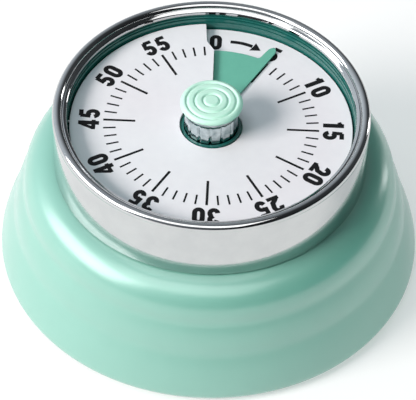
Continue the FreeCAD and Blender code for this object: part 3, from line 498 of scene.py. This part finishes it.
def digit_strokes(digit):
    """The centre lines of a digit and the width of each, in a box of digit width and height."""
    half = STROKE / 2
    left, right = half, DIGIT_WIDTH - half
    foot, head = half * 0.9, DIGIT_HEIGHT - half * 0.9
    mid = DIGIT_WIDTH / 2
    rx = (right - left) / 2
    if digit == "0":
        ring = bend(mid, head - 0.72, rx, 0.72, 0, 180) + bend(mid, foot + 0.72, rx, 0.72, 180, 360)
        return [(ring + [ring[0]], STROKE)]
    if digit == "1":
        stem = mid + 0.22
        return [([(stem, 0), (stem, DIGIT_HEIGHT)], STROKE * 1.08),
                ([(stem, DIGIT_HEIGHT - 0.28), (stem - 0.42, DIGIT_HEIGHT - 0.66),
                  (stem - 0.78, DIGIT_HEIGHT - 0.80)], STROKE * 0.8)]
    if digit == "2":
        top = bend(mid, head - 0.70, rx, 0.70, 185, -20, 18)
        return [(top + [(right - 0.22, 1.32), (mid - 0.12, 0.92), (left + 0.05, 0.42),
                        (left + 0.02, foot)], STROKE),
                ([(left - half + 0.02, foot), (right + half, foot)], STROKE * 0.9)]
    if digit == "3":
        upper = bend(mid, head - 0.64, rx * 0.96, 0.64, 170, -62, 16)
        lower = bend(mid, foot + 0.72, rx, 0.72, 70, -172, 18)
        return [(upper + [(mid + 0.1, 1.66)], STROKE), ([(mid + 0.02, 1.66)] + lower, STROKE)]
    if digit == "4":
        stem = DIGIT_WIDTH - 0.62
        return [([(stem, 0), (stem, DIGIT_HEIGHT)], STROKE),
                ([(stem - 0.12, DIGIT_HEIGHT - 0.16), (0.28, 1.05), (0.22, 0.90)], STROKE * 0.72),
                ([(0.0, 0.90), (DIGIT_WIDTH + 0.02, 0.90)], STROKE * 0.82)]
    bowl = bend(mid, foot + 0.76, rx, 0.76, 140, -165, 20)
    return [([(left + 0.18, head), (right + half * 0.6, head)], STROKE * 0.9),
            ([(left + 0.22, head + 0.1), (left + 0.08, 1.5)], STROKE * 0.9), (bowl, STROKE)]


def ribbon(bm, points, width, place, lift):
    """Adds a thin raised strip along flat points; place turns a flat point into a place."""
    pairs = []
    last = len(points) - 1
    closed = math.dist(points[0], points[-1]) < 1e-6
    for i, (x, y) in enumerate(points):
        before = points[i - 1] if i else (points[last - 1] if closed else points[0])
        after = points[i + 1] if i < last else (points[1] if closed else points[last])
        dx, dy = after[0] - before[0], after[1] - before[1]
        size = math.hypot(dx, dy) or 1.0
        nx, ny = -dy / size, dx / size
        one, two = (x - before[0], y - before[1]), (after[0] - x, after[1] - y)
        stretch = 1.0
        if math.hypot(*one) > 1e-9 and math.hypot(*two) > 1e-9:
            cosine = (one[0] * two[0] + one[1] * two[1]) / (math.hypot(*one) * math.hypot(*two))
            stretch = 1.0 / max(0.6, math.sqrt(max(0.0, (1 + cosine) / 2)))
        half = width / 2 * stretch
        pairs.append(((x + nx * half, y + ny * half), (x - nx * half, y - ny * half)))
    add_strip(bm, [[place(*p, height) for p, height in
                    ((a, lift), (b, lift), (b, -INK_SINK), (a, -INK_SINK))] for a, b in pairs])


def ink_piece(name, draw):
    """A piece of print on the dial, from a function that adds its strokes to a bmesh."""
    bm = bmesh.new()
    draw(bm)
    add_piece(name, finish_mesh(name, bm), INK, "dial_white", "case", crease=40.0)


def radial_place(clock):
    """Places a flat point whose x runs clockwise and whose y is a radius."""
    def place(x, y, height):
        angle = math.radians(clock)
        px = y * math.sin(angle) + x * math.cos(angle)
        py = y * math.cos(angle) - x * math.sin(angle)
        at = math.degrees(math.atan2(px, py))
        if clock > 90.0 and at < 0:
            at += 360.0
        return px, py, DIAL_TOP + DIAL_PITCH * at / 360.0 + height
    return place


def draw_ticks(bm):
    """A long, wide mark at each five minutes and a short one between; 0 has none."""
    for minute in range(1, 60):
        start, width = LONG_TICK if minute % 5 == 0 else SHORT_TICK
        points = [(0, start), (0, (start + TICK_END) / 2), (0, TICK_END)]
        ribbon(bm, points, width, radial_place(minute * 6.0), INK_LIFT)


def draw_number(bm, text, clock):
    """A number read from outside the dial, centred on its minute's mark."""
    total = len(text) * DIGIT_WIDTH + (len(text) - 1) * DIGIT_GAP
    nudge = NUMBER_NUDGE.get(text, 0.0)
    place = radial_place(clock)
    for index, digit in enumerate(text):
        shift = nudge - total / 2 + index * (DIGIT_WIDTH + DIGIT_GAP)
        for layer, (line, width) in enumerate(digit_strokes(digit)):
            points = [(x + shift, y + NUMBER_CIRCLE) for x, y in line]
            ribbon(bm, points, width, place, INK_LIFT + LAYER_LIFT * layer)


def draw_arrow(bm):
    """An arrow that runs clockwise from 0; its points are (clock, radius)."""
    def place(clock, radius, height):
        return on_ramp(radius, clock, DIAL_TOP + height)

    half, steps = 0.34, 12
    shaft = [(7.0 + 10.8 * t, 20.18 + 0.12 * math.sin(math.pi * t) - 0.12 * t)
             for t in (i / steps for i in range(steps + 1))]
    add_strip(bm, [[place(x, y + half, INK_LIFT), place(x, y - half, INK_LIFT),
                    place(x, y - half, -INK_SINK), place(x, y + half, -INK_SINK)] for x, y in shaft])
    head = [(18.7, 21.0), (22.5, 19.66), (17.2, 19.0), (18.2, 20.0)]
    add_strip(bm, [[place(x, y, height) for x, y in head]
                   for height in (INK_LIFT + LAYER_LIFT, -INK_SINK)])


def make_ink():
    """All the print on the dial, as thin raised pieces."""
    ink_piece("minute_marks", draw_ticks)
    for minute in range(0, 60, 5):
        ink_piece(f"number_{minute:02d}", lambda bm: draw_number(bm, str(minute), minute * 6.0))
    ink_piece("start_arrow", draw_arrow)


# ---- knob ----
def make_cap():
    """The mint cap, with three rings pressed into its low dome."""
    rings, ring_depth, ring_width = (1.35, 2.72, 4.02), 0.24, 0.21
    top = [(CAP_RADIUS, CAP_LOW + 0.3)]
    count, crown = 120, 0.22
    for i in range(count + 1):
        r = (CAP_RADIUS - 0.02) * (1 - i / count)
        edge = 0.42 * max(0.0, (r - 4.35) / 0.7) ** 2.2
        dome = crown * (1 - (r / CAP_RADIUS) ** 2)
        grooves = sum(ring_depth * math.exp(-((r - ring) / ring_width) ** 2) for ring in rings)
        top.append((max(r, 0.0), KNOB_TOP - crown + dome - edge - grooves))
    profile = [(0, CAP_LOW - 0.68), (2.98, CAP_LOW - 0.68), (2.98, CAP_LOW + 0.01),
               (CAP_RADIUS - 0.25, CAP_LOW + 0.01), (CAP_RADIUS - 0.04, CAP_LOW + 0.12)] + top
    add_piece("ridged_cap", turn("ridged_cap", profile, 128), MINT_CAP, "mint_lacquer", "knob",
              "knob_cap", crease=60.0)


def make_stem():
    """The chrome stem: soft flats with a groove between each two, and a round flare above."""
    bottom = low("knob_body")
    flats, groove_depth, groove_width = 14, 0.26, 0.05
    steps = flats * 20
    half = math.pi / flats
    rows = []
    for radius, height, depth in [      # depth is how much of the flats a row shows
        (1.3, bottom, 0), (4.35, bottom, 0), (4.4, bottom + 0.05, 1), (4.4, bottom + 0.2, 1),
        (4.36, CAP_LOW - 1.5, 1), (4.36, CAP_LOW - 1.4, 1), (4.39, CAP_LOW - 1.3, 0.7),
        (4.44, CAP_LOW - 1.15, 0.2), (4.53, CAP_LOW - 0.85, 0), (4.66, CAP_LOW - 0.45, 0),
        (4.78, CAP_LOW - 0.06, 0), (4.75, CAP_LOW, 0),
        (3.0, CAP_LOW, 0), (3.0, CAP_LOW - 0.7, 0), (1.3, CAP_LOW - 0.7, 0),
    ]:
        row = []
        for k in range(steps):
            angle = 2 * math.pi * k / steps
            off = (angle + half) % (2 * half) - half
            flat = radius * math.cos(half) / math.cos(off) + 0.02
            groove = groove_depth * math.exp(-((half - abs(off)) / groove_width) ** 2)
            at = radius + (min(flat, radius) - groove - radius) * depth
            row.append((at * math.cos(angle), at * math.sin(angle), height))
        rows.append(row)
    add_piece("chrome_stem", grid_mesh("chrome_stem", rows), CHROME_STEM_PAINTED_REFLECTION, "chrome", "knob",
              "knob_body", crease=24.0)


# ---- looks of the nodes that stay ----
def dress_cad():
    """Gives every CAD node that is kept the look of its material slot."""
    slots = {entry["node"]: entry["material_slot"] for entry in frame["record"]["subparts"]}
    for name, thing in frame["nodes"].items():
        look = CAD_LOOKS[slots[name]]
        for slot in thing.material_slots:
            slot.material = look


# ---- stage ----
CAMERA_TURN = 2.63               # degrees round Z from the dial's 0 mark
CAMERA_RISE = 47.92              # degrees down to the object
CAMERA_ROLL = 0.43
CAMERA_AT = Vector((6.87, -313.68, 354.23)) * MM
CAMERA_LENS = 241.7
CAMERA_SHIFT = (0.106, 0.031)
FLOOR_HALF = 3.0                 # metres
FLOOR_GAP = 0.00002              # metres between the floor and the timer
FLOOR_GLOW = 0.45


def make_camera():
    """A long lens that looks down on the dial from in front."""
    turn_by, rise = math.radians(CAMERA_TURN), math.radians(CAMERA_RISE)
    forward = Vector((-math.sin(turn_by) * math.cos(rise), math.cos(turn_by) * math.cos(rise),
                      -math.sin(rise)))
    right = Vector((math.cos(turn_by), math.sin(turn_by), 0))
    up = right.cross(forward)
    roll = Matrix.Rotation(math.radians(CAMERA_ROLL), 3, -forward)
    right, up = roll @ right, roll @ up
    data = bpy.data.cameras.new("camera")
    data.sensor_width = 36.0
    data.lens = CAMERA_LENS
    data.shift_x, data.shift_y = CAMERA_SHIFT
    data.clip_start = 0.01
    camera = bpy.data.objects.new("camera", data)
    camera.matrix_world = Matrix((right, up, -forward)).transposed().to_4x4()
    camera.location = CAMERA_AT
    bpy.context.scene.collection.objects.link(camera)
    bpy.context.scene.camera = camera


def make_light(name, place, target, size, power, colour=(1, 1, 1), diffuse=True, glossy=True):
    """A soft rectangular light that lights surfaces, shows in their gloss, or both."""
    data = bpy.data.lights.new(name, "AREA")
    data.shape = "RECTANGLE"
    data.size, data.size_y = size
    data.energy = power
    data.color = colour
    light = bpy.data.objects.new(name, data)
    light.location = place
    light.visible_diffuse, light.visible_glossy = diffuse, glossy
    light.rotation_euler = (Vector(target) - Vector(place)).to_track_quat("-Z", "Y").to_euler()
    bpy.context.scene.collection.objects.link(light)


def make_floor():
    """A pale floor that glows a little, so that its shadows stay light."""
    mesh = bpy.data.meshes.new("floor")
    half = FLOOR_HALF
    mesh.from_pydata([(-half, -half, 0), (half, -half, 0), (half, half, 0), (-half, half, 0)], [],
                     [(0, 1, 2, 3)])
    floor = bpy.data.objects.new("floor", mesh)
    floor.location.z = cad_box[0][2] - FLOOR_GAP
    mat = surface("pale_floor", (0.54, 0.53, 0.53), (0.525, 0.515, 0.515), rough=(0.7, 0.8),
                  scale=20.0)
    shader = mat.node_tree.nodes["Principled BSDF"]
    shader.inputs["Emission Color"].default_value = (1.0, 1.0, 1.0, 1.0)
    shader.inputs["Emission Strength"].default_value = FLOOR_GLOW
    mesh.materials.append(mat)
    bpy.context.scene.collection.objects.link(floor)


def make_stage():
    """The floor, the room and the lights: soft light from the left, and panels for the gloss."""
    make_floor()
    make_room()
    bpy.context.scene.view_settings.view_transform = "Standard"
    middle = (0, 0, 0.02)
    make_light("key_softbox", (-1.34, -0.68, 1.0), middle, (0.85, 0.65), 40.0, (1.0, 0.95, 0.925),
               glossy=False)
    make_light("top_softbox", (-0.15, -0.05, 0.9), middle, (0.7, 0.5), 2.2, (0.84, 0.95, 1.0),
               glossy=False)
    make_light("right_fill", (1.3, -0.5, 0.35), middle, (1.0, 0.6), 5.0, (0.28, 1.0, 0.87),
               glossy=False)
    make_light("left_panel", (-1.2, -0.25, 0.9), middle, (1.45, 0.95), 21.0, diffuse=False)
    make_light("right_panel", (0.8, 0.65, 0.2), middle, (0.12, 0.34), 0.7, diffuse=False)
    make_light("overhead_panel", (-0.1, -0.42, 1.12), middle, (1.2, 0.8), 5.6, diffuse=False)


def make_room():
    """A room that is pale to the left and behind, and dim to the right and in front."""
    world = bpy.data.worlds.new("studio")
    world.use_nodes = True
    tree = world.node_tree
    background = tree.nodes["Background"]
    coords = tree.nodes.new("ShaderNodeTexCoord")
    split = tree.nodes.new("ShaderNodeSeparateXYZ")
    tree.links.new(coords.outputs["Generated"], split.inputs["Vector"])
    shade = tree.nodes.new("ShaderNodeMapRange")
    shade.inputs["From Min"].default_value = 0.35
    shade.inputs["From Max"].default_value = -0.9
    shade.inputs["To Min"].default_value = 0.07
    shade.inputs["To Max"].default_value = 1.0
    tree.links.new(split.outputs["X"], shade.inputs["Value"])
    front = tree.nodes.new("ShaderNodeMapRange")
    front.interpolation_type = "SMOOTHSTEP"
    front.inputs["From Min"].default_value = -0.5
    front.inputs["From Max"].default_value = 0.8
    front.inputs["To Min"].default_value = 0.36
    tree.links.new(split.outputs["Y"], front.inputs["Value"])
    both = tree.nodes.new("ShaderNodeMath")
    both.operation = "MULTIPLY"
    tree.links.new(shade.outputs["Result"], both.inputs[0])
    tree.links.new(front.outputs["Result"], both.inputs[1])
    background.inputs["Color"].default_value = (0.84, 0.92, 1.0, 1)
    tree.links.new(both.outputs["Value"], background.inputs["Strength"])
    bpy.context.scene.world = world


make_base()
make_bezel()
make_well()
make_dial()
make_sector()
make_ink()
make_cap()
make_stem()
dress_cad()
make_stage()
make_camera()
